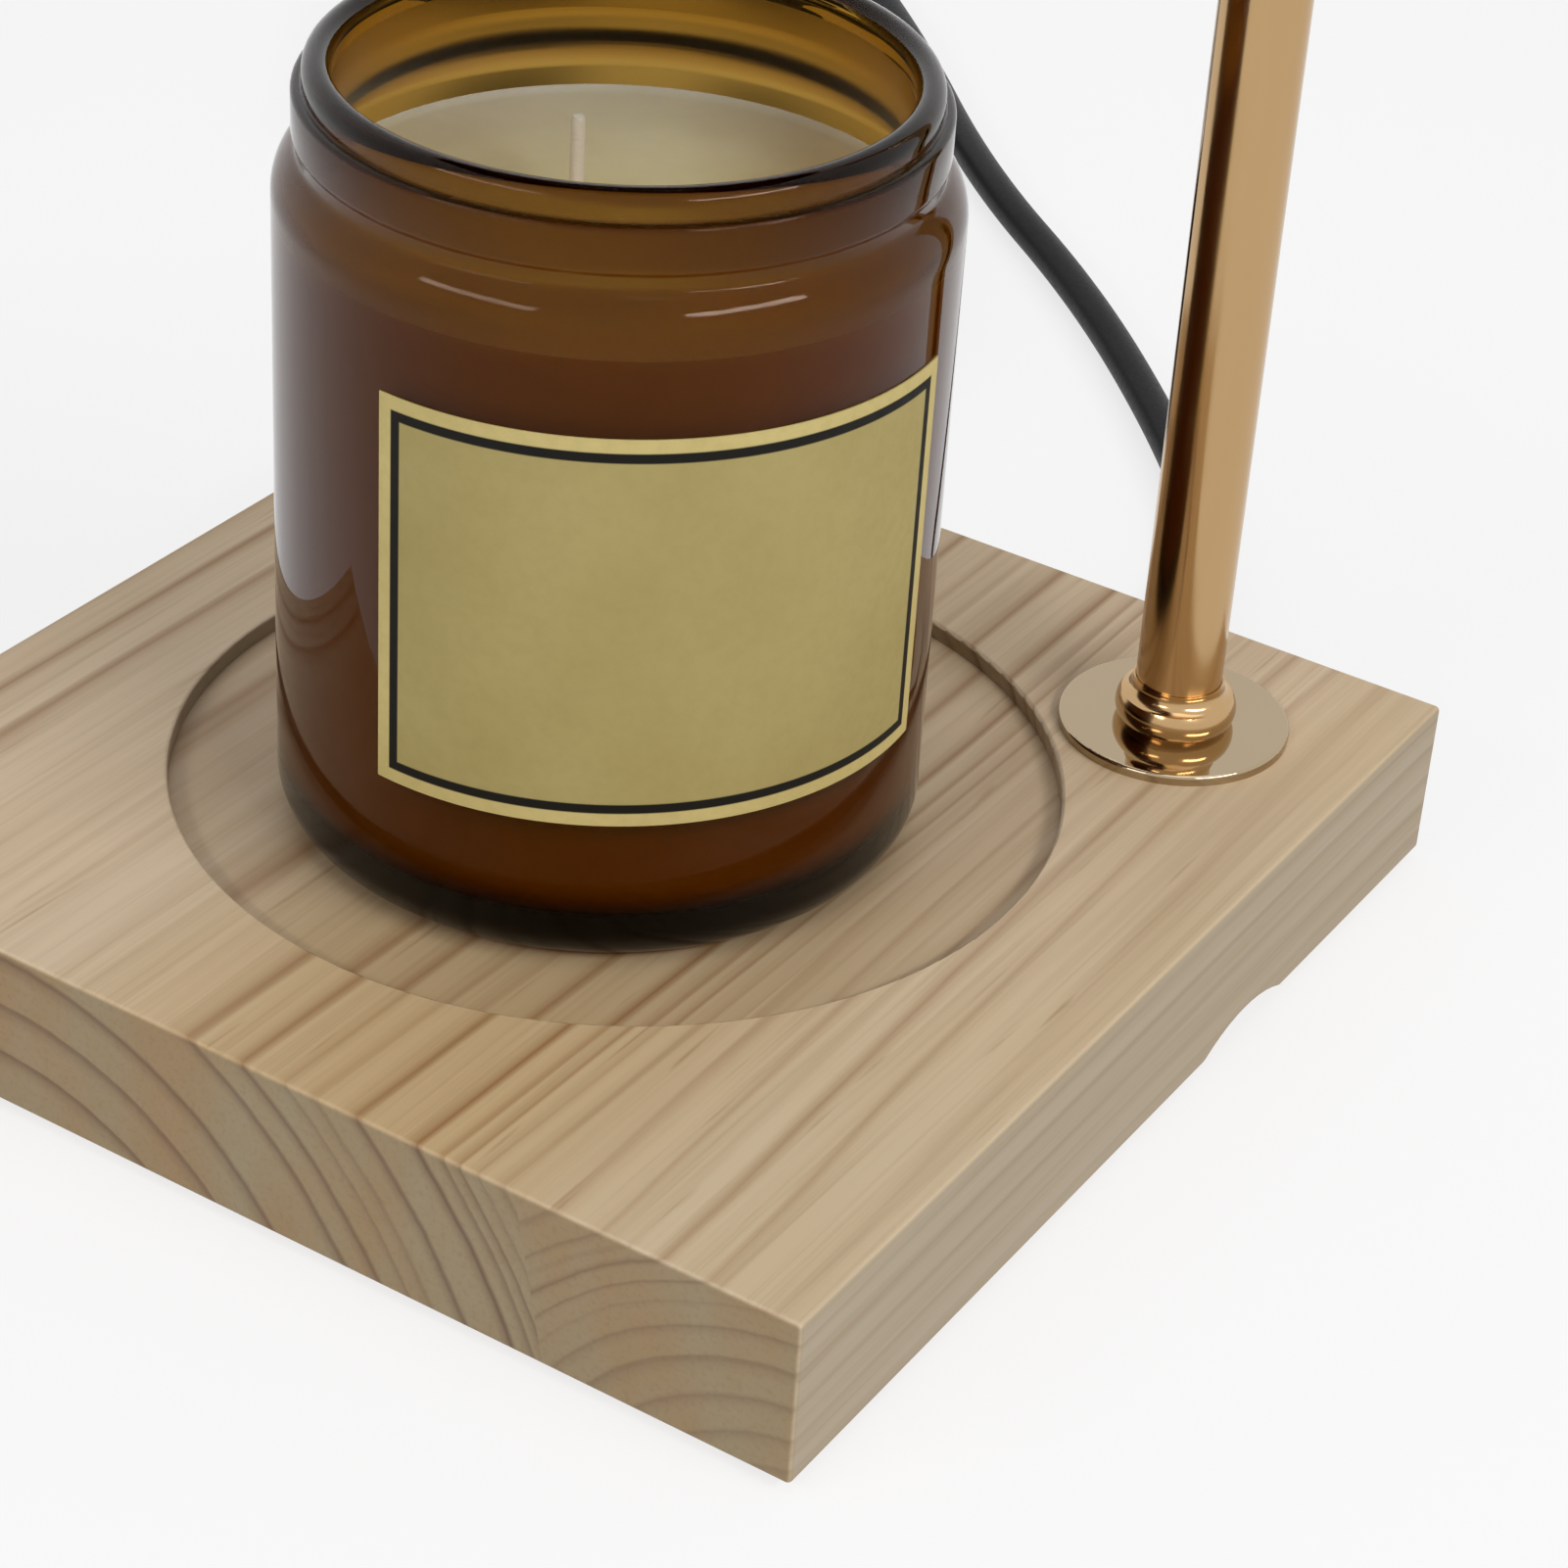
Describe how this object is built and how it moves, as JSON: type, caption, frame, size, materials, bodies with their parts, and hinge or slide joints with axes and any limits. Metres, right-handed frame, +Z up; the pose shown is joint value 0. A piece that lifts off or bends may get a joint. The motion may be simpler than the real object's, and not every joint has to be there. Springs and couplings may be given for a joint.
{
  "type": "candle warmer lamp",
  "caption": "Candle warmer lamp: square wooden base, swinging arched gold post with a hooded spot lamp over a lidless jar candle, corded in-line dimmer and plug.",
  "frame": {"origin": "bottom centre of the board, on the table under the feet", "axes": "+Z up, +X from the board's left side to the side with the finger notch, +Y along the grain to the side where the lead leaves"},
  "size_m": [0.2599, 0.3453, 0.32],
  "materials": {
    "wood_board": "pale natural plank, satin clear coat",
    "polished_washer": "mirror polished",
    "gold_finish": "satin gold plate",
    "steel_parts": "plated",
    "polymer_white": "plain",
    "polymer_black": "fine matt",
    "foot_rubber": "matt",
    "lead_sleeve": "matt",
    "cord_black": "satin sheath",
    "wire_sleeve": "heat-proof sleeve",
    "plug_brass": "plain",
    "circuit_board": "resin board",
    "ceramic": null,
    "bulb_glass": "clear",
    "bulb_glass_frosted": "moulded",
    "bulb_mirror": "coated reflector",
    "amber_glass": "dark amber",
    "candle_wax": null,
    "wick_cotton": "braided cotton",
    "label_paper": null
  },
  "bodies": {
    "base": {"base_plate": "wood_board", "pivot_bush": "polymer_white", "base_washer": "polished_washer", "stop_pin": "steel_parts", "cavity_cover": "polymer_black", "rubber_feet": "foot_rubber", "strain_relief": "lead_sleeve", "lamp_leads_base": "wire_sleeve", "mains_cord": "cord_black", "cord_tail": "cord_black", "cord_coil": "cord_black", "plug_cord": "cord_black", "plug_body": "lead_sleeve", "plug_blades": "plug_brass", "switch_lower_shell": "polymer_black", "switch_upper_shell": "polymer_black", "switch_screws": "steel_parts", "dimmer_pot": "polymer_black", "dimmer_board": "circuit_board"},
    "arm": {"post_tube": "gold_finish", "post_collar": "gold_finish", "spring_washer": "steel_parts", "stop_plate": "steel_parts", "lock_nut": "steel_parts", "lamp_leads_arm": "wire_sleeve", "head_nipple": "steel_parts", "head_nut": "steel_parts", "holder_bracket": "steel_parts", "holder_screws": "steel_parts", "ceramic_holder": "ceramic", "holder_contacts": "plug_brass", "holder_cup": "gold_finish", "shade": "gold_finish", "shade_ring": "gold_finish"},
    "bulb": {"bulb_base": "bulb_glass_frosted", "bulb_pins": "steel_parts", "bulb_reflector": "bulb_mirror", "bulb_lens": "bulb_glass", "bulb_capsule": "bulb_glass"},
    "candle": {"candle_jar": "amber_glass", "candle_wax": "candle_wax", "candle_wick": "wick_cotton", "wick_tab": "steel_parts", "candle_label": "label_paper"},
    "wheel": {"dimmer_wheel": "polymer_black"}
  },
  "joints": [
    {"name": "arm_swing", "type": "hinge", "parent": "base", "child": "arm", "pos_m": [0.0465, 0.0465, 0.02], "axis": [0, 0, 1], "range_deg": [-90, 90]},
    {"name": "bulb_twist", "type": "hinge", "parent": "arm", "child": "bulb", "pos_m": [0, 0, 0.246], "axis": [0, 0, 1], "range_deg": [-30, 0]},
    {"name": "candle_lift", "type": "slide", "parent": "base", "child": "candle", "axis": [0, 0, 1], "range_m": [0, 0.06]},
    {"name": "dimmer_turn", "type": "hinge", "parent": "base", "child": "wheel", "pos_m": [-0.15306, 0.1727, 0.009], "axis": [0, 0, 1], "range_deg": [0, 270]}
  ]
}
